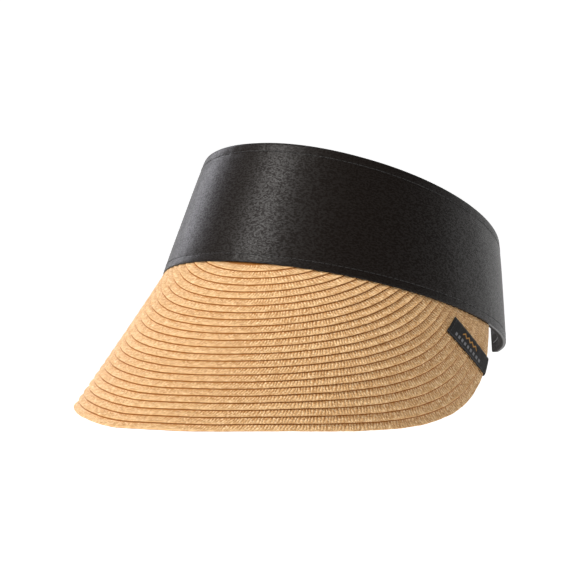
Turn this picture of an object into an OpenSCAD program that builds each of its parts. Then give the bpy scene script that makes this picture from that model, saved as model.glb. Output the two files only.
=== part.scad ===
// Sun visor: a wide brim sewn from overlapping rows of straw braid under a tall satin headband.
// The headband is open at the back, and its two arms spring outward over the head.
// Front is -Y, up is +Z, and the origin is the centre of the band's lower rim.

/* [Headband] */
// Half the width of the lower rim, outside
rim_half_w = 77.8; // [70:0.1:86]
// Half the length of the lower rim, outside
rim_half_l = 94.7; // [86:0.1:104]
// How much wider the rim is ahead of its middle, as a share of the width
rim_fullness = 0.058; // [0:0.001:0.12]
// Backward lean of the lower rim's plane, degrees
rim_lean = 18.6; // [10:0.1:26]
// Half the width of the upper rim, outside
crown_half_w = 67.7; // [60:0.1:74]
// Half the length of the upper rim, outside
crown_half_l = 82.3; // [76:0.1:92]
// How far the upper rim's middle lies behind the lower rim's
crown_back = 15.7; // [8:0.1:22]
// Backward lean of the upper rim's plane, degrees
crown_lean = 23.3; // [14:0.1:30]
// Height of the upper rim's middle over the lower rim's
crown_rise = 55.1; // [45:0.1:65]
// Angle from the front at which the arms begin to flex, degrees
flex_angle = 104; // [100:1:110]
// Angle from the front at which the arms end, degrees
arm_end_angle = 136; // [122:1:145]

/* [Band layers] */
// Satin cover
cover_t = 0.6; // [0.4:0.1:1]
// Soft wadding under the satin
wadding_t = 1.2; // [0.8:0.1:2]
// Springy plastic stiffener
stiffener_t = 0.8; // [0.6:0.1:1.2]
// Inner lining
lining_t = 0.6; // [0.4:0.1:1]
// Width of the satin turned in over both rims
hem_w = 8; // [5:0.5:12]
// Distance of the topstitching from the rims
stitch_inset = 4; // [2:0.5:6]
// Thickness of the topstitching thread
thread_t = 0.4; // [0.3:0.05:0.6]

/* [Brim] */
// Number of braid rows
row_count = 24; // [16:1:28]
// Spacing of the rows
row_pitch = 4.35; // [3.5:0.05:5]
// Width by which each row laps over the next one out
row_lap = 1; // [0.5:0.1:1.6]
// Thickness of the braid
braid_t = 1; // [0.7:0.1:1.3]
// Distance from the rim to the centre that the rows bend around
row_centre = 32.7; // [24:0.1:40]
// Sideways offset of the first row's start, from sewing round in a spiral
spiral_shift = 3.2; // [0:0.1:5]

/* [Label] */
// Width of the folded label
label_w = 10; // [6:0.5:16]
// Length of the folded label on each side of the brim
label_l = 31; // [14:0.5:36]
// Thickness of the label's woven ribbon
label_t = 0.5; // [0.4:0.1:0.8]
// Place of the label along the brim's edge, degrees round the row centre
label_angle = 23.5; // [10:0.5:60]

/* [Hidden] */
// Gap between layers, and between each row and the next
gap = 0.08;
// Half of the slit between the front of the band and each arm
slit = 0.25;
wadding_d = cover_t + gap;
stiffener_d = wadding_d + wadding_t + gap;
lining_d = stiffener_d + stiffener_t + gap;
band_t = lining_d + lining_t;
// The seam allowance fills the wadding's layer along the lower rim
allowance_h = 8;
// Steps along the front of the band, and along one arm
front_steps = 60;
arm_steps = 10;
// Steps along a braid row
row_steps = 38;
// Length of rim to one radian, and how much it varies between front and side
rim_scale = 83.8;
rim_vary = -0.093;
// Rise of a lapped row from its inner to its outer edge, over one millimetre
lap_slope = (braid_t + gap) / row_pitch;
// Half the angle over which differences are taken
tiny = 0.05;

function row_name(i) = str("braid_row_", i < 10 ? "0" : "", i);
function mix(a, b, share) = a + (b - a) * share;
function unit(v) = v / norm(v);

// ---- Headband surface ----

// Outer lower rim and outer upper rim at an angle from the front
function plan_x(half_w, angle) = half_w * sin(angle) * (1 + rim_fullness * cos(angle));
function lower_rim(angle) =
    let (y = -rim_half_l * cos(angle))
    [plan_x(rim_half_w, angle), y, -tan(rim_lean) * y];
function upper_rim(angle) =
    let (y = crown_back - crown_half_l * cos(angle))
    [plan_x(crown_half_w, angle), y, crown_rise - tan(crown_lean) * y];
function inward(angle) =
    let (along = lower_rim(angle + tiny) - lower_rim(angle - tiny))
    unit([-along[1], along[0], 0]);
function wall_height(angle) = norm(upper_rim(angle) - lower_rim(angle));

// A point in the wall: height above the lower rim, and depth below the satin
function wall_point(angle, height, depth) =
    mix(lower_rim(angle), upper_rim(angle), height / wall_height(angle)) + inward(angle) * depth;

// A section corner is [height, depth], and a height below zero counts down from the upper rim
// when its third value is 1
function corner_height(corner, angle) = corner[0] + (corner[2] == 1 ? wall_height(angle) : 0);
function wall_ring(section, angle) =
    [for (corner = section) wall_point(angle, corner_height(corner, angle), corner[1])];

// Turn a list of equal rings into one closed solid
module loft(rings) {
    count = len(rings[0]);
    last = len(rings) - 1;
    sides = [for (i = [0 : last - 1], j = [0 : count - 1])
        let (k = (j + 1) % count)
        [i * count + j, i * count + k, (i + 1) * count + k, (i + 1) * count + j]];
    triangles = [for (face = sides) each [[face[0], face[1], face[2]], [face[0], face[2], face[3]]]];
    first_cap = [for (j = [count - 1 : -1 : 0]) j];
    last_cap = [for (j = [0 : count - 1]) last * count + j];
    polyhedron(points = [for (ring = rings) each ring],
        faces = concat(triangles, [first_cap], [last_cap]), convexity = 6);
}

module wall_loft(section, from, to, steps) {
    loft([for (i = [0 : steps]) wall_ring(section, mix(from, to, i / steps))]);
}

// Angle that half the slit takes up
slit_angle = slit / norm(lower_rim(flex_angle + 0.5) - lower_rim(flex_angle - 0.5));
front_end = flex_angle - slit_angle;
arm_start = flex_angle + slit_angle;

module front_part(section, end = front_end) {
    wall_loft(section, -end, end, front_steps);
}

// Side is 1 for the wearer's left arm and -1 for the right
module arm_part(section, side) {
    from = side > 0 ? arm_start : -arm_end_angle;
    to = side > 0 ? arm_end_angle : -arm_start;
    wall_loft(section, from, to, arm_steps);
}

// ---- Sections of the band's layers ----

cover_section = [
    [0.3, 0, 0], [0, 0.4, 0], [0, band_t - 0.4, 0], [0.3, band_t, 0],
    [hem_w, band_t, 0], [hem_w, lining_d, 0], [cover_t, lining_d, 0], [cover_t, cover_t, 0],
    [-cover_t, cover_t, 1], [-cover_t, lining_d, 1], [-hem_w, lining_d, 1], [-hem_w, band_t, 1],
    [-0.3, band_t, 1], [0, band_t - 0.4, 1], [0, 0.4, 1], [-0.3, 0, 1]];
inside_low = cover_t + gap;
stiffener_section = [
    [inside_low, stiffener_d, 0], [inside_low, stiffener_d + stiffener_t, 0],
    [-inside_low, stiffener_d + stiffener_t, 1], [-inside_low, stiffener_d, 1]];
lining_section = [
    [hem_w + gap, lining_d, 0], [hem_w + gap, band_t, 0],
    [-hem_w - gap, band_t, 1], [-hem_w - gap, lining_d, 1]];
allowance_section = [
    [inside_low, wadding_d, 0], [inside_low, wadding_d + wadding_t, 0],
    [allowance_h, wadding_d + wadding_t, 0], [allowance_h, wadding_d, 0]];

function wadding_section(low) = [
    [low, wadding_d, 0], [low, wadding_d + wadding_t, 0],
    [-inside_low, wadding_d + wadding_t, 1], [-inside_low, wadding_d, 1]];
function thread_section(middle, from_top) = [
    [middle - thread_t / 2, -gap, from_top], [middle + thread_t / 2, -gap, from_top],
    [middle + thread_t / 4, -gap - thread_t / 2, from_top],
    [middle - thread_t / 4, -gap - thread_t / 2, from_top]];

low_thread = thread_section(stitch_inset, 0);
top_thread = thread_section(-stitch_inset, 1);
satin = [0.10, 0.10, 0.11];
black_thread = [0.16, 0.16, 0.17];

module cover_front() { color(satin) front_part(cover_section); }
module wadding_front() { color("dimgray") front_part(wadding_section(allowance_h + gap)); }
module stiffener_front() { color("whitesmoke") front_part(stiffener_section); }
module lining_front() { color([0.15, 0.15, 0.16]) front_part(lining_section); }
module stitch_top_front() { color(black_thread) front_part(top_thread); }
module stitch_low_front() { color(black_thread) front_part(low_thread); }
module brim_allowance() { color("tan") front_part(allowance_section); }

module cover_arm(side) { color(satin) arm_part(cover_section, side); }
module wadding_arm(side) { color("dimgray") arm_part(wadding_section(inside_low), side); }
module stiffener_arm(side) { color("whitesmoke") arm_part(stiffener_section, side); }
module lining_arm(side) { color([0.15, 0.15, 0.16]) arm_part(lining_section, side); }
module stitch_top_arm(side) { color(black_thread) arm_part(top_thread, side); }
module stitch_low_arm(side) { color(black_thread) arm_part(low_thread, side); }

// ---- Brim surface ----

// Where the brim leaves the band, tucked under the lower rim
function headline(angle) =
    lower_rim(angle) + inward(angle) * (0.6 + 1.4 * pow(sin(angle), 2))
        - [0, 0, 0.5 + 0.8 * pow(cos(angle), 2)];

// Direction in which the brim runs from the headline: forward at the front, down at the sides
function brim_direction(angle) = unit([
    0.08 * sin(angle) - 0.043 * sin(3 * angle),
    0.009 - 0.728 * cos(angle) + 0.164 * cos(2 * angle),
    -0.671 + 0.365 * cos(angle) - 0.155 * cos(2 * angle)]);
// Slow bend of the brim, per square millimetre
function brim_bend(angle) = [-0.00062 * sin(angle), -0.00021 - 0.00063 * cos(angle), 0.00039];
function brim_point(angle, reach) =
    headline(angle) + brim_direction(angle) * reach + brim_bend(angle) * reach * reach;
function brim_normal(angle, reach) =
    let (along = brim_point(angle + tiny, reach) - brim_point(angle - tiny, reach))
    let (out = brim_point(angle, reach + tiny) - brim_point(angle, reach - tiny))
    unit(cross(out, along));

// Angle on the rim at a length along it, by four rounds of correction
function rim_angle(run, rounds = 4) =
    rounds == 0 ? run / rim_scale * 180 / PI
    : (run / rim_scale - rim_vary * sin(2 * rim_angle(run, rounds - 1))) * 180 / PI;

// The rows are circles about the row centre on the flat brim, cut off by the headline.
// A point on a circle, lifted off the brim's middle surface
function start_turn(radius) = asin(min(1, row_centre / radius));
function circle_point(radius, turn, lift) =
    let (angle = rim_angle(spiral_shift - radius * cos(turn)))
    let (reach = radius * sin(turn) - row_centre)
    brim_point(angle, reach) + brim_normal(angle, reach) * lift;

function outer_radius(row) = row_centre + (row_count - row + 1) * row_pitch;
function inner_radius(row) = max(outer_radius(row) - row_pitch - row_lap, row_centre + 0.3);
function row_lift(row, radius) =
    lap_slope * (radius - outer_radius(row) + (row_pitch + row_lap) / 2);

// A row's section corner is its radius and its height over the row's own middle
function row_section(row) =
    let (out = outer_radius(row), in = inner_radius(row), half = braid_t / 2, soft = 0.3)
    [[in, 0], [in + soft, -half], [out - soft, -half], [out, 0], [out - soft, half], [in + soft, half]];
function row_ring(row, share) =
    [for (corner = row_section(row))
        let (first = start_turn(corner[0]))
        circle_point(corner[0], mix(first, 180 - first, share),
            row_lift(row, corner[0]) + corner[1])];

module braid_row(row) {
    color(row % 2 == 0 ? [0.83, 0.66, 0.43] : [0.80, 0.62, 0.39])
        loft([for (i = [0 : row_steps]) row_ring(row, i / row_steps)]);
}

// ---- Folded label on the brim's edge ----

label_top = lap_slope * (row_pitch + row_lap) / 2 + braid_t / 2 + gap + label_t / 2;
edge_radius = outer_radius(1);
fold_r = edge_radius + 0.4 + label_t;
// The ribbon's middle line: radius and height over the brim's middle surface
label_path = concat(
    [for (i = [0 : 5]) [edge_radius - label_l * (1 - i / 5), label_top]],
    [[fold_r, label_top * 0.6], [fold_r, -label_top * 0.6]],
    [for (i = [5 : -1 : 0]) [edge_radius - label_l * (1 - i / 5), -label_top]]);
// Outward direction of the ribbon in its own section
function label_out(i) =
    let (before = label_path[max(i - 1, 0)], after = label_path[min(i + 1, len(label_path) - 1)])
    let (along = unit(after - before))
    [-along[1], along[0]];
function label_ring(i) =
    let (middle = label_path[i], out = label_out(i) * label_t / 2)
    let (half_turn = label_w / 2 / middle[0] * 180 / PI, turn = 180 - label_angle)
    [circle_point(middle[0] - out[0], turn - half_turn, middle[1] - out[1]),
     circle_point(middle[0] - out[0], turn + half_turn, middle[1] - out[1]),
     circle_point(middle[0] + out[0], turn + half_turn, middle[1] + out[1]),
     circle_point(middle[0] + out[0], turn - half_turn, middle[1] + out[1])];

module label() {
    color([0.07, 0.07, 0.08]) loft([for (i = [0 : len(label_path) - 1]) label_ring(i)]);
}

// Line of thread across the label's inner end, lying on the ribbon
module label_stitch() {
    radius = edge_radius - label_l + 1.5;
    half_turn = (label_w / 2 - 0.8) / radius * 180 / PI;
    turn = 180 - label_angle;
    low = label_top + label_t / 2 + gap;
    color(black_thread)
        loft([for (i = [0 : 4])
            let (at = turn + half_turn * (i / 2 - 1))
            [circle_point(radius - thread_t / 2, at, low),
             circle_point(radius + thread_t / 2, at, low),
             circle_point(radius + thread_t / 4, at, low + thread_t / 2),
             circle_point(radius - thread_t / 4, at, low + thread_t / 2)]]);
}

for (i = [1 : row_count])
    braid_row(i);
cover_front();
wadding_front();
stiffener_front();
lining_front();
stitch_top_front();
stitch_low_front();
brim_allowance();
label();
label_stitch();
cover_arm(1);  // cover_left
wadding_arm(1);  // wadding_left
stiffener_arm(1);  // stiffener_left
lining_arm(1);  // lining_left
stitch_top_arm(1);  // stitch_top_left
stitch_low_arm(1);  // stitch_low_left
cover_arm(-1);  // cover_right
wadding_arm(-1);  // wadding_right
stiffener_arm(-1);  // stiffener_right
lining_arm(-1);  // lining_right
stitch_top_arm(-1);  // stitch_top_right
stitch_low_arm(-1);  // stitch_low_right
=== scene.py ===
"""Sun visor: straw braid brim under a tall satin headband, shown as worn, in front of a plain white floor."""

import math

import bpy
import numpy as np
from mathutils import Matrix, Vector


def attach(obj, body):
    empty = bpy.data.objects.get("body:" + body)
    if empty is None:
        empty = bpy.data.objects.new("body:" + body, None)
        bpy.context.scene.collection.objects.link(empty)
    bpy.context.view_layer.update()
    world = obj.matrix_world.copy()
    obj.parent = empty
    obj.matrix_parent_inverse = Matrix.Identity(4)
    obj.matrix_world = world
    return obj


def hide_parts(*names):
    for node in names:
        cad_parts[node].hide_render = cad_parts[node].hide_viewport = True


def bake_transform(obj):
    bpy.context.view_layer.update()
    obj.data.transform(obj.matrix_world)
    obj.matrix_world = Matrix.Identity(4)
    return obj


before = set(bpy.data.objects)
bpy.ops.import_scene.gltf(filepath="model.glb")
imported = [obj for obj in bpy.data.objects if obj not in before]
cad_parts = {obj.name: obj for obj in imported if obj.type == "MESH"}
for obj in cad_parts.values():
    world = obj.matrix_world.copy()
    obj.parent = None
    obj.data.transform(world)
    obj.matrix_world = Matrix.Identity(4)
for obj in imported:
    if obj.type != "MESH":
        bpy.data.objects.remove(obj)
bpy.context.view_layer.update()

# ---- Driving dimensions of the model, in millimetres and degrees, as in the CAD ----
RIM_HALF_W, RIM_HALF_L, RIM_FULLNESS, RIM_LEAN = 77.8, 94.7, 0.058, 18.6
CROWN_HALF_W, CROWN_HALF_L, CROWN_BACK = 67.7, 82.3, 15.7
CROWN_LEAN, CROWN_RISE = 23.3, 55.1
ARM_END_ANGLE = 136.0
COVER_T, WADDING_T, STIFFENER_T, LINING_T, GAP = 0.6, 1.2, 0.8, 0.6, 0.08
HEM_W, STITCH_INSET, THREAD_T = 8.0, 4.0, 0.4
ROW_COUNT, ROW_PITCH, ROW_LAP, BRAID_T = 24, 4.35, 1.0, 1.0
ROW_CENTRE, SPIRAL_SHIFT, RIM_SCALE, RIM_VARY = 32.7, 3.2, 83.8, -0.093
LABEL_W, LABEL_L, LABEL_T, LABEL_ANGLE = 10.0, 31.0, 0.5, 23.5
WADDING_D = COVER_T + GAP
STIFFENER_D = WADDING_D + WADDING_T + GAP
LINING_D = STIFFENER_D + STIFFENER_T + GAP
BAND_T = LINING_D + LINING_T
INSIDE_LOW = COVER_T + GAP
LAP_SLOPE = (BRAID_T + GAP) / ROW_PITCH
# How far the ends of the rows run on up inside the band
TUCK = 2.2
MM = 0.001
# A small step in an angle or a reach, to take a direction from
TINY_ANGLE, TINY_REACH = 1e-3, 0.05


# ---- Surfaces of the band and the brim. Angles are in radians from the front ----
def stack(x, y, z):
    return np.stack(np.broadcast_arrays(x, y, z), -1)


def unit(v):
    return v / np.linalg.norm(v, axis=-1, keepdims=True)


def plan_x(half_w, a):
    return half_w * np.sin(a) * (1 + RIM_FULLNESS * np.cos(a))


def lower_rim(a):
    y = -RIM_HALF_L * np.cos(a)
    return stack(plan_x(RIM_HALF_W, a), y, -math.tan(math.radians(RIM_LEAN)) * y)


def upper_rim(a):
    y = CROWN_BACK - CROWN_HALF_L * np.cos(a)
    return stack(plan_x(CROWN_HALF_W, a), y, CROWN_RISE - math.tan(math.radians(CROWN_LEAN)) * y)


def inward(a):
    """Level direction from the band's outer face towards the head."""
    along = lower_rim(a + TINY_ANGLE) - lower_rim(a - TINY_ANGLE)
    return unit(stack(-along[..., 1], along[..., 0], 0 * a))


def wall_height(a):
    """Height of the band from the lower rim to the upper one, along its slope."""
    return np.linalg.norm(upper_rim(a) - lower_rim(a), axis=-1)


def wall_point(a, height, depth):
    """A point of the band: height above the lower rim and depth below the satin."""
    a, height, depth = np.broadcast_arrays(a, height, depth)
    share = (height / wall_height(a))[..., None]
    low = lower_rim(a)
    return low + (upper_rim(a) - low) * share + inward(a) * depth[..., None]


def headline(a):
    """Where the brim leaves the band, tucked under the lower rim."""
    out = lower_rim(a) + inward(a) * (0.6 + 1.4 * np.sin(a) ** 2)[..., None]
    out[..., 2] -= 0.5 + 0.8 * np.cos(a) ** 2
    return out


def brim_direction(a):
    """Direction in which the brim runs from the headline: forward at the front, down at the sides."""
    return unit(stack(
        0.08 * np.sin(a) - 0.043 * np.sin(3 * a),
        0.009 - 0.728 * np.cos(a) + 0.164 * np.cos(2 * a),
        -0.671 + 0.365 * np.cos(a) - 0.155 * np.cos(2 * a)))


def brim_point(a, reach):
    """A point of the brim's middle surface. A reach below zero is tucked up inside the band."""
    bend = stack(-0.00062 * np.sin(a), -0.00021 - 0.00063 * np.cos(a), 0.00039)
    out, tuck = np.maximum(reach, 0)[..., None], np.maximum(-reach, 0)[..., None]
    brim = headline(a) + brim_direction(a) * out + bend * out**2
    return brim + tuck * (0.55 * inward(a) + np.array([0, 0, 0.85]))


def brim_normal(a, reach):
    along = brim_point(a + TINY_ANGLE, reach) - brim_point(a - TINY_ANGLE, reach)
    out = brim_point(a, reach + TINY_REACH) - brim_point(a, reach - TINY_REACH)
    return unit(np.cross(out, along))


def rim_angle(run):
    """Angle on the rim at a length along it, by rounds of correction."""
    a = run / RIM_SCALE
    for _ in range(4):
        a = run / RIM_SCALE - RIM_VARY * np.sin(2 * a)
    return a


def ripple(a, reach):
    """Slow unevenness of the sewn straw, growing towards the free edge."""
    free = np.clip(reach / 100, 0, 1) ** 2
    return free * (0.35 * np.sin(5.3 * a + 0.6) + 0.22 * np.sin(11.1 * a + 2.1 + reach / 24))


def circle_point(radius, turn, lift):
    """A point on a row's circle, lifted off the brim's middle surface."""
    a = rim_angle(SPIRAL_SHIFT - radius * np.cos(turn))
    reach = radius * np.sin(turn) - ROW_CENTRE
    tuck = np.clip(-reach / TUCK, 0, 1)
    lift = (lift + ripple(a, np.maximum(reach, 0))) * (1 - 0.65 * tuck)
    return brim_point(a, reach) + brim_normal(a, np.maximum(reach, TINY_REACH)) * lift[..., None]


# ---- Meshes ----
def soft_noise(seed, x, waves):
    """A smooth, repeatable wobble of size about 1 along x. waves holds the wavelengths."""
    rng = np.random.RandomState(seed)
    total = 0
    for wave in waves:
        total = total + np.sin(2 * math.pi * (x / (wave * (0.85 + 0.3 * rng.rand())) + rng.rand()))
    return total / math.sqrt(len(waves))


def mesh_object(name, points, faces, material, values=None):
    """A smooth-shaded mesh from points in millimetres. values is a place per point on the laid-out material,
    in millimetres too, which the mesh keeps in metres."""
    mesh = bpy.data.meshes.new(name)
    mesh.from_pydata((points.reshape(-1, 3) * MM).tolist(), [], faces)
    mesh.update()
    mesh.polygons.foreach_set("use_smooth", [True] * len(mesh.polygons))
    if values is not None:
        layer = mesh.attributes.new("lay", "FLOAT_VECTOR", "POINT")
        layer.data.foreach_set("vector", (values.reshape(-1, 3) * MM).astype(np.float32).ravel())
    crisp_ends(mesh)
    mesh.materials.append(material)
    obj = bpy.data.objects.new(name, mesh)
    bpy.context.scene.collection.objects.link(obj)
    return obj


def loft_faces(rings, count, start=0):
    """Faces of a tube of rings with count points each, closed at both ends."""
    i, j = np.meshgrid(np.arange(rings - 1), np.arange(count), indexing="ij")
    k = (j + 1) % count
    quads = np.stack([i * count + j, i * count + k, (i + 1) * count + k, (i + 1) * count + j], -1)
    faces = (quads.reshape(-1, 4) + start).tolist()
    faces.append([start + n for n in range(count - 1, -1, -1)])
    faces.append([start + (rings - 1) * count + n for n in range(count)])
    return faces


def crisp_ends(mesh):
    """Keeps a flat end cap, the only face with over four corners, from bending the shading of the sides."""
    sharp = mesh.attributes.new("sharp_edge", "BOOLEAN", "EDGE")
    marks = [False] * len(mesh.edges)
    edges = {tuple(sorted(edge.vertices)): edge.index for edge in mesh.edges}
    for face in mesh.polygons:
        if len(face.vertices) > 4:
            for key in face.edge_keys:
                marks[edges[tuple(sorted(key))]] = True
    sharp.data.foreach_set("value", marks)


# ---- Materials ----
class Paint:
    """Builds one node material around a Principled shader. Lengths in materials are in metres."""

    def __init__(self, name):
        self.material = bpy.data.materials.new(name)
        self.material.use_nodes = True
        self.nodes = self.material.node_tree.nodes
        self.links = self.material.node_tree.links
        self.shader = self.nodes["Principled BSDF"]

    def put(self, kind, inputs, **settings):
        node = self.nodes.new(kind)
        for key, value in settings.items():
            setattr(node, key, value)
        for key, value in inputs.items():
            if isinstance(value, bpy.types.NodeSocket):
                self.links.new(value, node.inputs[key])
            else:
                node.inputs[key].default_value = value
        return node

    def math(self, operation, a, b=0.0, c=0.0, clamp=False):
        inputs = {0: a, 1: b, 2: c}
        return self.put("ShaderNodeMath", inputs, operation=operation, use_clamp=clamp).outputs[0]

    def wave(self, value, pitch):
        """A sine wave, -1 to 1, that repeats every pitch metres."""
        return self.math("SINE", self.math("MULTIPLY", value, 2 * math.pi / pitch))

    def ramp(self, value, low, high, to_low=0.0, to_high=1.0):
        node = self.put("ShaderNodeMapRange", {0: value, 1: low, 2: high, 3: to_low, 4: to_high})
        node.interpolation_type = "SMOOTHSTEP"
        return node.outputs[0]

    def lay(self):
        """The place on the laid-out material, and its parts: along, across and a third value."""
        place = self.put("ShaderNodeAttribute", {}, attribute_name="lay")
        split = self.put("ShaderNodeSeparateXYZ", {0: place.outputs["Vector"]})
        return place.outputs["Vector"], split.outputs[0], split.outputs[1], split.outputs[2]

    def noise(self, vector, scale, detail=2.0, stretch=None):
        if stretch:
            scaled = self.put("ShaderNodeVectorMath", {0: vector, 1: stretch}, operation="MULTIPLY")
            vector = scaled.outputs[0]
        inputs = {"Vector": vector, "Scale": scale, "Detail": detail}
        return self.put("ShaderNodeTexNoise", inputs).outputs[0]

    def mix(self, share, a, b):
        return self.put("ShaderNodeMix", {0: share, 6: a, 7: b}, data_type="RGBA").outputs[2]

    def bump(self, height, distance, strength):
        inputs = {"Height": height, "Distance": distance, "Strength": strength}
        return self.put("ShaderNodeBump", inputs).outputs[0]

    def finish(self, **sockets):
        for key, value in sockets.items():
            name = key.replace("_", " ")
            if isinstance(value, bpy.types.NodeSocket):
                self.links.new(value, self.shader.inputs[name])
            else:
                self.shader.inputs[name].default_value = value
        return self.material


def straw():
    """Flat paper braid: slanted ribs with dark gaps and flecks, painted highlights on the rib crests, and
    painted shade on the inner part of each row, in the groove where the rows lap and under the rolled edge.
    """
    rib_pitch, rib_slant, rib_drift = 0.00118, -0.42, 0.0024
    p = Paint("straw_braid")
    place, run, across, row = p.lay()
    drift = p.noise(place, 260.0, 2.0, (1.0, 0.5, 1.0))
    slanted = p.math("MULTIPLY_ADD", across, rib_slant, run)
    slanted = p.math("MULTIPLY_ADD", drift, rib_drift, slanted)
    wave = p.wave(slanted, rib_pitch)
    # Zones across a row: the flat field, its inner part, the groove, and the underside of the roll. Shade is
    # painted on the last three.
    field = p.ramp(across, 0.0005, 0.0011)
    inner = p.ramp(across, 0.0014, 0.0043)
    groove = p.ramp(across, 0.0037, 0.0041)
    under = p.ramp(across, 0.00005, -0.0002)
    # Unevenness: three sizes of marks, slow tones along the rows, and one tone per row
    grain = p.noise(place, 420.0, 3.0, (0.8, 0.9, 1.0))
    fleck = p.noise(place, 1100.0, 2.0, (1.0, 0.6, 1.0))
    nick = p.noise(place, 1500.0, 1.0, (1.0, 0.55, 1.0))
    tone = p.noise(place, 34.0, 2.0, (1.0, 3.0, 1.0))
    by_row = p.put("ShaderNodeTexWhiteNoise", {"W": row}, noise_dimensions="1D").outputs[0]
    colour = p.mix(tone, (0.48, 0.265, 0.104, 1), (0.61, 0.37, 0.168, 1))
    colour = p.mix(p.ramp(grain, 0.35, 0.75), colour, (0.74, 0.49, 0.25, 1))
    colour = p.mix(p.math("MULTIPLY", by_row, 0.20), colour, (0.45, 0.215, 0.07, 1))
    # Painted shade: the inner part of each row, in the shade of the next row's roll, is darkened towards
    # orange-brown.
    colour = p.mix(p.math("MULTIPLY", inner, 0.5), colour, (0.48, 0.215, 0.058, 1))
    gaps = p.math("MULTIPLY", p.ramp(wave, 0.1, -0.8), p.math("MULTIPLY_ADD", field, 0.75, 0.25))
    gaps = p.math("MULTIPLY", gaps, p.ramp(fleck, 0.34, 0.60))
    gaps = p.math("MULTIPLY", gaps, p.math("MULTIPLY_ADD", inner, 0.65, 0.45), clamp=True)
    colour = p.mix(p.math("MULTIPLY", gaps, 0.85), colour, (0.23, 0.088, 0.021, 1))
    # Painted highlight: the crests of the ribs in the field are lightened.
    crest_highlight = p.math("MULTIPLY", p.ramp(wave, 0.3, 0.9), field)
    crest_highlight = p.math("MULTIPLY", crest_highlight, p.ramp(fleck, 0.58, 0.38))
    colour = p.mix(p.math("MULTIPLY", crest_highlight, 0.7), colour, (0.92, 0.70, 0.44, 1))
    dark_nick = p.math("MULTIPLY", p.ramp(nick, 0.56, 0.72), 0.65)
    colour = p.mix(dark_nick, colour, (0.26, 0.105, 0.028, 1))
    light_nick = p.math("MULTIPLY", p.ramp(nick, 0.42, 0.28), 0.55)
    colour = p.mix(light_nick, colour, (0.92, 0.72, 0.47, 1))
    # Painted shade: the groove and the underside of the roll are darkened to brown, and their gloss is taken
    # down.
    shade = p.math("MAXIMUM", p.math("MULTIPLY", groove, 0.92), p.math("MULTIPLY", under, 0.95))
    colour = p.mix(shade, colour, (0.27, 0.096, 0.017, 1))
    ribs = p.math("MULTIPLY", wave, p.math("MULTIPLY_ADD", field, 0.30, 0.10))
    height = p.math("MULTIPLY_ADD", fleck, 0.6, ribs)
    height = p.math("MULTIPLY_ADD", grain, 0.35, height)
    return p.finish(
        Base_Color=colour,
        Roughness=p.ramp(grain, 0.2, 0.8, 0.68, 0.52),
        Normal=p.bump(height, 0.00026, 1.0),
        Specular_IOR_Level=p.math("MULTIPLY_ADD", shade, -0.23, 0.26))


def satin():
    """Black satin whose fine grain shows in the gloss. Its hem inside the band is duller than its face."""
    weft_pitch, weft_slant = 0.00034, 0.35
    p = Paint("black_satin")
    place, run, height, depth = p.lay()
    weft = p.wave(p.math("MULTIPLY_ADD", run, weft_slant, height), weft_pitch)
    slub = p.noise(place, 1600.0, 2.0, (0.55, 1.0, 1.0))
    speck = p.noise(place, 1700.0, 1.0, (0.8, 1.0, 1.0))
    cloudy = p.noise(place, 60.0, 3.0)
    weave = p.math("MULTIPLY_ADD", weft, 0.25, p.math("MULTIPLY", speck, 1.6))
    weave = p.math("MULTIPLY_ADD", slub, 1.6, weave)
    colour = p.mix(slub, (0.0046, 0.0031, 0.0024, 1), (0.0080, 0.0058, 0.0046, 1))
    inside = p.ramp(depth, 0.0010, 0.0020)
    rough = p.math("ADD", p.ramp(speck, 0.3, 0.7, 0.40, 0.34), p.math("MULTIPLY", cloudy, 0.05))
    rough = p.math("MULTIPLY_ADD", inside, 0.35, rough)
    gloss = p.ramp(slub, 0.40, 0.60, 0.09, 0.26)
    gloss = p.math("MULTIPLY", gloss, p.math("MULTIPLY_ADD", inside, -0.7, 1.0))
    return p.finish(
        Base_Color=colour,
        Roughness=rough,
        Normal=p.bump(weave, 0.00004, 0.9),
        Specular_IOR_Level=gloss)


def lining():
    """Plain black lining with a visible weave."""
    yarn_pitch = 0.0009
    p = Paint("lining_cloth")
    place, run, height, _ = p.lay()
    weave = p.math("MULTIPLY", p.wave(run, yarn_pitch), p.wave(height, yarn_pitch))
    fuzz = p.noise(place, 1800.0, 3.0)
    cloudy = p.noise(place, 45.0, 2.0)
    colour = p.mix(p.ramp(weave, -0.8, 0.8), (0.011, 0.010, 0.010, 1), (0.028, 0.026, 0.027, 1))
    colour = p.mix(p.math("MULTIPLY", cloudy, 0.35), colour, (0.05, 0.047, 0.048, 1))
    return p.finish(
        Base_Color=colour,
        Roughness=p.ramp(fuzz, 0.2, 0.8, 0.72, 0.92),
        Normal=p.bump(p.math("MULTIPLY_ADD", fuzz, 0.6, weave), 0.00012, 0.7),
        Specular_IOR_Level=0.12,
        Sheen_Weight=0.02,
        Sheen_Roughness=0.5)


def thread():
    """Twisted black sewing thread."""
    twist_pitch, twist_slant = 0.0006, 1.2
    p = Paint("black_thread")
    _, run, across, _ = p.lay()
    twist = p.wave(p.math("MULTIPLY_ADD", across, twist_slant, run), twist_pitch)
    light = p.math("MULTIPLY_ADD", twist, 0.5, 0.5)
    colour = p.mix(light, (0.006, 0.0055, 0.0055, 1), (0.022, 0.021, 0.021, 1))
    return p.finish(
        Base_Color=colour,
        Roughness=0.42,
        Normal=p.bump(twist, 0.00008, 0.8),
        Specular_IOR_Level=0.45)


def wadding():
    """Grey fleece, hidden under the satin."""
    p = Paint("wadding_fleece")
    place, *_ = p.lay()
    fuzz = p.noise(place, 700.0, 5.0)
    colour = p.mix(fuzz, (0.10, 0.10, 0.105, 1), (0.24, 0.24, 0.25, 1))
    return p.finish(Base_Color=colour, Roughness=0.95, Normal=p.bump(fuzz, 0.0004, 0.8))


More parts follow.
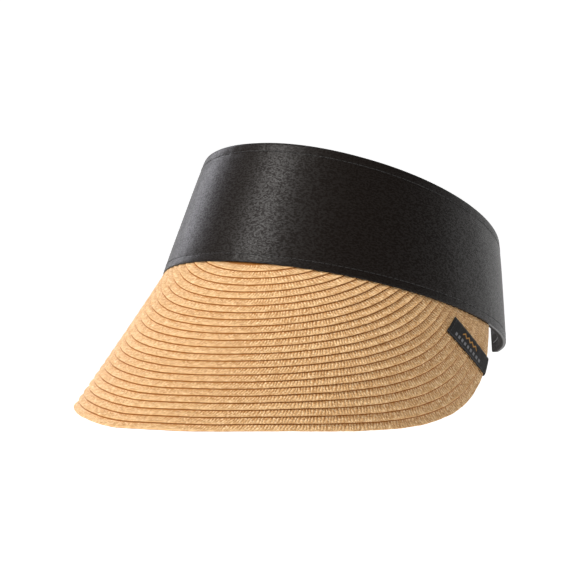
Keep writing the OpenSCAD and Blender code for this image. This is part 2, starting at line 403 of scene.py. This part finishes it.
def stiffener():
    """Pale plastic sheet that keeps the band's shape."""
    p = Paint("stiffener_sheet")
    place, *_ = p.lay()
    haze = p.noise(place, 120.0, 3.0)
    colour = p.mix(haze, (0.72, 0.72, 0.70, 1), (0.84, 0.84, 0.82, 1))
    return p.finish(
        Base_Color=colour,
        Roughness=p.ramp(haze, 0.3, 0.7, 0.35, 0.5),
        Normal=p.bump(haze, 0.00005, 0.4))


def label_ribbon():
    """Woven black ribbon with a thin border, a grey dashed stripe and a short gold zigzag."""
    weft_pitch, warp_pitch, dash_pitch, zigzag_size = 0.0007, 0.0009, 0.0024, 0.0015
    stripe_at, zigzag_at = -0.0021, -0.0009
    p = Paint("label_ribbon")
    place, along, across, _ = p.lay()
    fuzz = p.noise(place, 2200.0, 2.0)
    weave = p.math("MULTIPLY", p.wave(across, weft_pitch), p.wave(along, warp_pitch))
    weave = p.math("MULTIPLY_ADD", fuzz, 0.8, weave)
    colour = p.mix(p.ramp(weave, -0.8, 1.2), (0.004, 0.0035, 0.0035, 1), (0.014, 0.013, 0.013, 1))
    off_middle = p.math("ABSOLUTE", across)
    border = p.math("MULTIPLY", p.ramp(off_middle, 0.0040, 0.0042), p.ramp(off_middle, 0.0047, 0.0045))
    colour = p.mix(p.math("MULTIPLY", border, 0.35), colour, (0.09, 0.088, 0.09, 1))
    ends = p.math("MULTIPLY", p.ramp(along, 0.0045, 0.0048), p.ramp(along, 0.0265, 0.0262))
    stripe = p.math("ABSOLUTE", p.math("SUBTRACT", across, stripe_at))
    stripe = p.math("MULTIPLY", p.ramp(stripe, 0.0010, 0.0008), ends)
    stripe = p.math("MULTIPLY", stripe, p.ramp(p.wave(along, dash_pitch), -0.35, -0.05))
    colour = p.mix(p.math("MULTIPLY", stripe, 0.8), colour, (0.19, 0.19, 0.20, 1))
    zigzag = p.math("SUBTRACT", p.math("PINGPONG", along, zigzag_size), p.math("ADD", across, zigzag_at))
    zigzag = p.ramp(p.math("ABSOLUTE", zigzag), 0.0006, 0.0003)
    middle = p.math("MULTIPLY", p.ramp(along, 0.0088, 0.0091), p.ramp(along, 0.0212, 0.0209))
    zigzag = p.math("MULTIPLY", zigzag, middle)
    colour = p.mix(p.math("MULTIPLY", zigzag, 0.85), colour, (0.42, 0.20, 0.035, 1))
    return p.finish(
        Base_Color=colour,
        Roughness=p.ramp(fuzz, 0.2, 0.8, 0.55, 0.75),
        Normal=p.bump(weave, 0.0001, 0.7),
        Specular_IOR_Level=0.15)


STRAW, SATIN, LINING, THREAD = straw(), satin(), lining(), thread()
WADDING, STIFFENER, RIBBON = wadding(), stiffener(), label_ribbon()


# ---- Brim: every braid row with its rolled outer edge ----
# Length between rings along a row, and the height above which a row's thickness varies
RING_STEP, FIELD_HEIGHT = 1.2, 0.45


def outer_radius(row):
    """Radius of a row's outer edge. Row 1 is the brim's free edge."""
    return ROW_CENTRE + (ROW_COUNT - row + 1) * ROW_PITCH


def row_profile(width):
    """Closed section of a braid: distance in from its outer edge, height over its middle, and the distance
    that the material goes by, which is below zero on the underside of the rolled edge, where shade is
    painted."""
    roll_radius, roll_height = 0.42, 0.08
    roll = []
    for t in np.radians(np.linspace(-60, 90, 11)):
        shown = t / 2 if t < 0 else 0.4 - 0.4 * math.cos(t)
        roll.append((roll_radius - roll_radius * math.cos(t), roll_height + roll_radius * math.sin(t), shown))
    top = [(0.7, 0.49), (1.1, 0.47), (1.5, 0.46), (1.9, 0.46), (2.6, 0.50), (3.3, 0.60), (3.9, 0.74),
           (4.3, 0.84), (4.6, 0.88)]
    inner = [(width - 0.35, 0.85), (width - 0.08, 0.6), (width, 0.1), (width - 0.1, -0.3),
             (width - 0.4, -0.48)]
    low = [(share * (width - 0.4) + (1 - share) * 1.2, -0.5) for share in (0.75, 0.5, 0.25, 0.0)]
    return np.array(roll + [(d, h, d) for d, h in top + inner + low])


def braid_row(row):
    """One row: the section swept along its circle, with an uneven rolled edge and uneven thickness."""
    edge = outer_radius(row)
    width = ROW_PITCH + ROW_LAP
    if row == ROW_COUNT:
        width = max(width, edge - ROW_CENTRE + TUCK)
    profile = row_profile(width)
    length = edge * (math.pi - 2 * math.asin(ROW_CENTRE / edge))
    rings = max(24, int(length / RING_STEP))
    share = np.linspace(0, 1, rings)[:, None]
    run = share * length
    wobble = 0.08 * soft_noise(row, run, (9.0, 17.0, 31.0)) + 0.035 * soft_noise(row + 50, run, (2.6, 3.9))
    wobble = wobble * np.clip(1 - profile[None, :, 0] / 2.5, 0, 1)
    thick = 1 + 0.10 * soft_noise(row + 90, run, (3.3, 5.1, 12.0))
    radius = edge - profile[None, :, 0] + wobble
    first = np.arcsin(np.minimum(1, (ROW_CENTRE - TUCK) / radius))
    turn = first + (math.pi - 2 * first) * share
    up = profile[None, :, 1]
    up = np.where(up > FIELD_HEIGHT, FIELD_HEIGHT + (up - FIELD_HEIGHT) * thick, up)
    lift = LAP_SLOPE * (radius - edge + (ROW_PITCH + ROW_LAP) / 2) + up
    points = circle_point(radius, turn, lift)
    # Each row has its own stretch of the material. Its third value comes out in metres as the row's number.
    values = stack(run + 400.0 * row, profile[None, :, 2], 1000.0 * row + 0 * radius)
    obj = mesh_object(f"straw_row_{row:02d}", points, loft_faces(rings, len(profile)), STRAW, values)
    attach(obj, "visor")
    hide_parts(f"braid_row_{row:02d}")


for row in range(1, ROW_COUNT + 1):
    braid_row(row)


# ---- Headband layers ----
# Degrees from the front: where an arm's pieces join the front's, and where the bend starts and ends
JOIN_AT = 84.0
FLEX_FROM, FLEX_TO = 91.0, 120.0
# A point in the middle of the wall: height above the lower rim and depth
WALL_MIDDLE = (28.0, 1.5)
# Length of the closed end of each arm, and degrees between rings along the band
PLATE, BAND_STEP = 0.8, 0.9
# Where the band's stretch of the material starts
BAND_LAY_START = 500.0
PARTS = (("front", 0), ("left", 1), ("right", -1))


def face_marks():
    """The satin's outer face as marks (distance from a rim, from_top, depth, follows_fabric), from the lower
    rim up to the upper one. The depth has the rolled hem, the dip at the topstitching, and the crown."""
    half = [(0.0, 0.45), (0.04, 0.28), (0.15, 0.12), (0.4, 0.02), (1.0, -0.04), (2.2, -0.04), (3.2, 0.00),
            (3.8, 0.06), (4.0, 0.08), (4.2, 0.06), (4.8, 0.00), (6.0, -0.08), (8.0, -0.16), (11.0, -0.22),
            (15.0, -0.26), (20.0, -0.28)]
    return [(h, 0, d, 1.0) for h, d in half] + [(h, 1, d, 1.0) for h, d in reversed(half)]


def ring_heights(marks, height):
    """Heights above the lower rim for (distance, from_top) marks, at each angle."""
    marks = np.array(marks, float)
    return np.where(marks[None, :, 1] > 0, height[:, None] - marks[None, :, 0], marks[None, :, 0])


def fabric_play(run, rise, height):
    """How far the satin stands proud: broad soft waves, and puckers along the two lines of topstitching."""
    between_rims = np.sin(math.pi * np.clip(rise / height, 0, 1))
    broad = 0.10 * soft_noise(7, run + 0.25 * rise, (37.0, 61.0)) * between_rims
    pucker = 0
    for number, line in enumerate((STITCH_INSET, height - STITCH_INSET)):
        off = (rise - line) / 2.6
        pucker = pucker + 0.07 * soft_noise(20 + number, run, (4.3, 6.1, 9.7)) * np.exp(-off * off)
    return broad + pucker


def rim_run(a):
    """Length along the lower rim from the front, millimetres."""
    fine = np.radians(np.linspace(-150, 150, 1201))
    steps = np.linalg.norm(np.diff(lower_rim(fine), axis=0), axis=-1)
    along = np.concatenate([[0], np.cumsum(steps)])
    along = along - np.interp(0, fine, along)
    return np.interp(a, fine, along)


def band_rings(start, end, outer, inner):
    """Rings between two angles in degrees. outer and inner are lists of marks, as in face_marks."""
    count = max(3, int(abs(end - start) / BAND_STEP) + 1)
    a = np.radians(np.linspace(start, end, count))
    height = wall_height(a)
    marks = outer + inner
    rise = ring_heights([(m[0], m[1]) for m in marks], height)
    depth = np.array([m[2] for m in marks])[None, :] + 0 * rise
    follows = np.array([m[3] for m in marks])[None, :]
    run = rim_run(a)[:, None]
    depth = depth - follows * fabric_play(run, rise, height[:, None])
    points = wall_point(a[:, None], rise, depth)
    return points, stack(run + BAND_LAY_START + 0 * rise, rise, depth)


def upper_roll():
    """Marks over the rolled upper rim, from the face to the back."""
    short_of_back = [(0.0, 0.62), (0.08, 0.3), (0.3, 0.08), (0.7, 0.0)]
    return [(distance, 1, BAND_T - short, 0) for distance, short in short_of_back]


def mirrored_low(marks):
    """The same marks from the lower rim, in the opposite order."""
    return [(distance, 0, depth, follows) for distance, _, depth, follows in reversed(marks)]


def cover_marks():
    """The satin cover: its face, and both hems folded in to the back, each with a line of topstitching."""
    hem = [(STITCH_INSET - 0.6, 1, BAND_T, 0), (STITCH_INSET, 1, BAND_T - 0.12, 0),
           (STITCH_INSET + 0.6, 1, BAND_T, 0), (HEM_W - 0.3, 1, BAND_T, 0), (HEM_W, 1, BAND_T - 0.15, 0),
           (HEM_W, 1, LINING_D, 0), (INSIDE_LOW - GAP, 1, LINING_D, 0), (COVER_T, 1, COVER_T, 0)]
    back = upper_roll() + hem
    return face_marks(), back + mirrored_low(back)


def full_marks():
    """The closed end of an arm: the whole section of the band."""
    return face_marks(), upper_roll() + mirrored_low(upper_roll())


def layer_marks(low, shallow, deep):
    """A plain layer that starts low from each rim, between two depths."""
    return [(low, 0, shallow, 0), (low, 1, shallow, 0)], [(low, 1, deep, 0), (low, 0, deep, 0)]


def degrees_of(mm, at):
    """Degrees that a length takes up along the lower rim, from the chord of one radian there."""
    a = math.radians(at)
    chord = lower_rim(np.array(a + 0.5)) - lower_rim(np.array(a - 0.5))
    return mm / float(np.linalg.norm(chord)) * math.degrees(1)


def bend_arm(obj, side):
    """Bakes the piece's placement into its mesh. The ends of the flex line are worked out but not used."""
    start, end = (wall_point(np.radians(side * angle), *WALL_MIDDLE) * MM for angle in (FLEX_FROM, FLEX_TO))
    tuple(start)
    tuple(end)
    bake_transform(obj)


def place_piece(obj, side):
    """The front's pieces ride on the visor, and an arm's pieces keep their place, baked into their meshes."""
    if side:
        bend_arm(obj, side)
    else:
        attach(obj, "visor")


def band_layer(name, node, material, marks, closed_end=None):
    """One layer of the band as three pieces: the front, and an arm on each side."""
    stop = ARM_END_ANGLE - degrees_of(PLATE, ARM_END_ANGLE)
    spans_of = {
        0: [(-JOIN_AT, JOIN_AT, marks)],
        1: [(JOIN_AT, stop, marks), (stop, ARM_END_ANGLE, closed_end)],
        -1: [(-stop, -JOIN_AT, marks), (-ARM_END_ANGLE, -stop, closed_end)]}
    made = []
    for part, side in PARTS:
        points, values, faces, start = [], [], [], 0
        for begin, end, span_marks in spans_of[side]:
            if span_marks is None:
                continue
            ring, value = band_rings(begin, end, *span_marks)
            faces += loft_faces(ring.shape[0], ring.shape[1], start)
            points.append(ring.reshape(-1, 3))
            values.append(value.reshape(-1, 3))
            start += ring.shape[0] * ring.shape[1]
        obj = mesh_object(f"{name}_{part}", np.concatenate(points), faces, material, np.concatenate(values))
        place_piece(obj, side)
        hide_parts(f"{node}_{part}")
        made.append(obj)
    return made


covers = band_layer("satin_cover", "cover", SATIN, cover_marks(), full_marks())
linings = band_layer("lining_cloth", "lining", LINING, layer_marks(HEM_W + GAP, LINING_D, BAND_T))
waddings = band_layer("wadding_layer", "wadding", WADDING,
                      layer_marks(INSIDE_LOW, WADDING_D, WADDING_D + WADDING_T))
band_layer("stiffener_layer", "stiffener", STIFFENER,
           layer_marks(INSIDE_LOW, STIFFENER_D, STIFFENER_D + STIFFENER_T))


# ---- Topstitching: single stitches on both faces of the hems ----
STITCH_PITCH, STITCH_SHARE, STITCH_FLATNESS = 3.0, 0.84, 0.8
# How far short of the arms' ends the stitching stops, in degrees
STITCH_END = 1.2
# A stitch is a bead: its rings as (place along it, size), and the sides of each ring
BEAD_RINGS = ((-0.5, 0.35), (-0.38, 0.85), (0.0, 1.0), (0.38, 0.85), (0.5, 0.35))
BEAD_SIDES = 6
# Steps of the thread's material along and round a stitch, and from one stitch to the next
LAY_ALONG, LAY_ROUND, LAY_NEXT = 0.6, 0.2, 3.1


def stitch(a, rise_of, depth, length, out):
    """Points of one stitch, a thin bead along the rim. out is 1 on the band's face, -1 on its back."""
    points = []
    centre = wall_point(np.array(a), rise_of(a), depth)
    ahead = unit(wall_point(np.array(a + TINY_ANGLE), rise_of(a + TINY_ANGLE), depth) - centre)
    away = -inward(np.array(a)) * out
    up = np.cross(away, ahead)
    for share, size in BEAD_RINGS:
        middle = centre + ahead * length * share + away * (0.05 + 0.10 * (1 - (2 * share) ** 2))
        for turn in range(BEAD_SIDES):
            t = math.radians(360 / BEAD_SIDES * turn)
            round_it = away * math.sin(t) * STITCH_FLATNESS + up * math.cos(t)
            points.append(middle + round_it * THREAD_T / 2 * size)
    return np.array(points)


def stitch_line(part, side, where):
    """The stitches of one piece of the band, along its upper or its lower rim."""
    stop = ARM_END_ANGLE - STITCH_END
    begin, end = {0: (-JOIN_AT, JOIN_AT), 1: (JOIN_AT, stop), -1: (-stop, -JOIN_AT)}[side]
    top = where == "top"

    def rise_of(a):
        return float(wall_height(np.array(a))) - STITCH_INSET if top else STITCH_INSET

    first, last = rim_run(math.radians(begin)), rim_run(math.radians(end))
    fine = np.radians(np.linspace(begin, end, 400))
    along = np.repeat(np.arange(len(BEAD_RINGS)), BEAD_SIDES)
    across = np.tile(np.arange(BEAD_SIDES), len(BEAD_RINGS))
    points, values, faces = [], [], []
    for number in range(int((last - first) / STITCH_PITCH)):
        a = float(np.interp(first + (number + 0.5) * STITCH_PITCH, rim_run(fine), fine))
        for depth, out in ((0.12, 1), (BAND_T - 0.05, -1)):
            faces += loft_faces(len(BEAD_RINGS), BEAD_SIDES, len(points) * len(along))
            points.append(stitch(a, rise_of, depth, STITCH_PITCH * STITCH_SHARE, out))
            values.append(stack(along * LAY_ALONG + number * LAY_NEXT, across * LAY_ROUND, 0))
    name = f"topstitch_{where}_{part}"
    obj = mesh_object(name, np.concatenate(points), faces, THREAD, np.concatenate(values))
    place_piece(obj, side)
    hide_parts(f"stitch_{where}_{part}")


for part, side in PARTS:
    for where in ("top", "low"):
        stitch_line(part, side, where)


# ---- Label folded over the brim's edge ----
# Height of the ribbon's middle over the brim's middle surface, as in the CAD
LABEL_TOP = LAP_SLOPE * (ROW_PITCH + ROW_LAP) / 2 + BRAID_T / 2 + GAP + LABEL_T / 2
# How much higher it lies here, and how far the fold stands off the brim's edge
LABEL_CLEAR, LABEL_FOLD = 0.12, 0.4
LABEL_TURN = math.radians(180 - LABEL_ANGLE)
LABEL_STEPS = 13
SEAM_INSET, SEAM_COUNT = 1.5, 4


def label():
    """The woven ribbon: a flat section swept out over the brim, round its edge and back underneath."""
    edge = outer_radius(1)
    fold = LABEL_FOLD + LABEL_T
    height = LABEL_TOP + LABEL_CLEAR
    upper = [(edge - LABEL_L * (1 - share), height) for share in np.linspace(0, 1, 26)]
    bend = [(edge + fold * math.cos(t), height * math.sin(t)) for t in np.radians(np.linspace(75, -75, 9))]
    path = np.array(upper + bend + [(r, -h) for r, h in reversed(upper)])
    along = np.concatenate([[0], np.cumsum(np.linalg.norm(np.diff(path, axis=0), axis=-1))])
    ahead = unit(np.gradient(path, axis=0))
    out = np.stack([-ahead[:, 1], ahead[:, 0]], -1)
    across = np.concatenate([np.linspace(-1, 1, LABEL_STEPS), np.linspace(1, -1, LABEL_STEPS)])
    face = np.repeat([1.0, -1.0], LABEL_STEPS)
    face = face * np.where(np.abs(across) > 0.99, 0.35, 1.0)
    wave = 0.07 * np.sin(2 * math.pi * along / ROW_PITCH)
    radius = path[:, None, 0] + out[:, None, 0] * (face[None, :] * LABEL_T / 2)
    lift = path[:, None, 1] + out[:, None, 1] * (face[None, :] * LABEL_T / 2 + wave[:, None])
    sideways = across[None, :] * LABEL_W / 2
    points = circle_point(radius, LABEL_TURN + sideways / path[:, None, 0], lift)
    values = stack(along[:, None] + 0 * radius, sideways + 0 * radius, face[None, :] + 0 * radius)
    obj = mesh_object("folded_label", points, loft_faces(len(path), 2 * LABEL_STEPS), RIBBON, values)
    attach(obj, "visor")
    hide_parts("label")
    return obj


ribbon = label()


def label_seam():
    """The short row of stitches across the label's end."""
    radius = outer_radius(1) - LABEL_L + SEAM_INSET
    half = (LABEL_W / 2 - 0.8) / radius
    lift = LABEL_TOP + LABEL_T / 2 + 0.16
    t = np.radians(360 / BEAD_SIDES * np.arange(BEAD_SIDES))
    points, values, faces = [], [], []
    for number in range(SEAM_COUNT):
        middle = LABEL_TURN + half * ((2 * number + 1) / SEAM_COUNT - 1)
        for share, size in ((-0.5, 0.35), (-0.35, 0.85), (0.0, 1.0), (0.35, 0.85), (0.5, 0.35)):
            turn = middle + share * half * 0.42
            points.append(circle_point(
                radius + np.cos(t) * THREAD_T / 2 * size,
                turn + 0 * t,
                lift + np.sin(t) * THREAD_T / 2 * size * STITCH_FLATNESS))
            values.append(stack(number * LAY_NEXT + share * 2.4, np.arange(BEAD_SIDES) * LAY_ROUND, 0))
        faces += loft_faces(len(BEAD_RINGS), BEAD_SIDES, number * len(BEAD_RINGS) * BEAD_SIDES)
    obj = mesh_object("label_seam", np.concatenate(points), faces, THREAD, np.concatenate(values))
    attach(obj, "visor")
    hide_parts("label_stitch")


label_seam()
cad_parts["brim_allowance"].data.materials.clear()
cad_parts["brim_allowance"].data.materials.append(STRAW)

# ---- Spans, lengths and heights of the band's pieces, worked out but not used ----
# The band is shorter along its upper rim than along its lower one
join_run, end_run = rim_run(math.radians(JOIN_AT)), rim_run(math.radians(ARM_END_ANGLE))
for obj, lined in zip(covers, linings):
    if obj.name.endswith("front"):
        span, run = (0.0, JOIN_AT), 2 * join_run
    else:
        span, run = (JOIN_AT, ARM_END_ANGLE), end_run - join_run
    tall = wall_height(np.radians(np.linspace(*span, 25))).mean()


# ---- Floor, light and camera ----
# The visor is held up as on a head, and the floor lies well below it. In metres, as is all that follows.
FLOOR_Z, FLOOR_HALF = -0.32, 60
# Where the lights point
CENTRE = Vector((0, -0.05, 0.02))


def floor():
    """A white floor that glows a little, so that it shows as white as the photo's ground."""
    p = Paint("white_floor")
    place = p.put("ShaderNodeTexCoord", {}).outputs["Object"]
    haze = p.noise(place, 3.0, 2.0)
    colour = p.mix(haze, (0.90, 0.90, 0.90, 1), (0.93, 0.93, 0.93, 1))
    mesh = bpy.data.meshes.new("floor")
    corners = [(x * FLOOR_HALF, y * FLOOR_HALF, FLOOR_Z) for x, y in ((-1, -1), (1, -1), (1, 1), (-1, 1))]
    mesh.from_pydata(corners, [], [(0, 1, 2, 3)])
    mesh.materials.append(p.finish(
        Base_Color=colour,
        Roughness=0.9,
        Specular_IOR_Level=0.1,
        Emission_Color=(1, 1, 1, 1),
        Emission_Strength=0.75))
    obj = bpy.data.objects.new("floor", mesh)
    bpy.context.scene.collection.objects.link(obj)


floor()


def toward(azimuth, elevation):
    """Direction from the object to a viewpoint. Azimuth 0 is in front, and 90 on the wearer's left."""
    a, e = math.radians(azimuth), math.radians(elevation)
    return Vector((math.sin(a) * math.cos(e), -math.cos(a) * math.cos(e), math.sin(e)))


def softbox(name, azimuth, elevation, distance, size, power, colour, mirrored=True):
    """A soft light that faces the object. One that isn't mirrored leaves no highlight."""
    data = bpy.data.lights.new(name, "AREA")
    data.shape = "RECTANGLE"
    data.size, data.size_y = size
    data.energy = power
    data.color = colour
    obj = bpy.data.objects.new(name, data)
    back = toward(azimuth, elevation)
    obj.location = CENTRE + back * distance
    obj.rotation_euler = back.to_track_quat("Z", "Y").to_euler()
    obj.visible_glossy = mirrored
    bpy.context.scene.collection.objects.link(obj)


softbox("key", -28, 46, 1.4, (0.33, 0.8), 19, (1.0, 0.98, 0.96))
softbox("side", -110, 22, 1.5, (0.36, 1.0), 6.5, (0.92, 0.92, 1.0))
softbox("fill", 2, 46, 1.5, (1.0, 1.0), 9.5, (1.0, 0.98, 0.95), mirrored=False)


def studio():
    """A white surround, dimmer overhead and, above the horizon, to the sides."""
    world = bpy.data.worlds.new("studio")
    bpy.context.scene.world = world
    world.use_nodes = True
    nodes, links = world.node_tree.nodes, world.node_tree.links
    split = nodes.new("ShaderNodeSeparateXYZ")
    links.new(nodes.new("ShaderNodeTexCoord").outputs["Generated"], split.inputs[0])

    def ramp(source, low, high, to_low, to_high):
        node = nodes.new("ShaderNodeMapRange")
        node.interpolation_type = "SMOOTHSTEP"
        for index, value in enumerate((source, low, high, to_low, to_high)):
            if isinstance(value, bpy.types.NodeSocket):
                links.new(value, node.inputs[index])
            else:
                node.inputs[index].default_value = value
        return node.outputs[0]

    overhead = ramp(split.outputs[2], 0.15, 0.60, 1.1, 0.38)
    sideways = nodes.new("ShaderNodeMath")
    sideways.operation = "ABSOLUTE"
    links.new(split.outputs[0], sideways.inputs[0])
    aside = ramp(sideways.outputs[0], 0.2, 0.65, 1.0, 0.32)
    strength = nodes.new("ShaderNodeMath")
    strength.operation = "MULTIPLY"
    links.new(overhead, strength.inputs[0])
    links.new(ramp(split.outputs[2], 0.07, 0.13, 1.0, aside), strength.inputs[1])
    links.new(strength.outputs[0], nodes["Background"].inputs["Strength"])
    nodes["Background"].inputs["Color"].default_value = (1, 1, 1, 1)


studio()
bpy.context.scene.view_settings.view_transform = "Standard"

# The camera's fit to the photograph, in degrees, metres and the photograph's pixels
CAMERA_AZ, CAMERA_EL, CAMERA_DISTANCE, PIXELS_PER_M = 28.8, 6.2, 1.199, 2084.1
ORIGIN_IN_PHOTO = (340.4, 312.9)
PHOTO_SIDE = 576


def camera():
    """A camera with no shift, turned so that the origin falls where it is in the photograph."""
    data = bpy.data.cameras.new("camera")
    focal = PIXELS_PER_M * CAMERA_DISTANCE
    data.lens = focal / PHOTO_SIDE * data.sensor_width
    back = toward(CAMERA_AZ, CAMERA_EL)
    right = Vector((0, 0, 1)).cross(back).normalized()
    up = back.cross(right)
    middle = PHOTO_SIDE / 2
    aim = -back * focal + right * (middle - ORIGIN_IN_PHOTO[0]) + up * (ORIGIN_IN_PHOTO[1] - middle)
    obj = bpy.data.objects.new("camera", data)
    obj.location = back * CAMERA_DISTANCE
    obj.rotation_euler = aim.to_track_quat("-Z", "Y").to_euler()
    bpy.context.scene.collection.objects.link(obj)
    bpy.context.scene.camera = obj


camera()
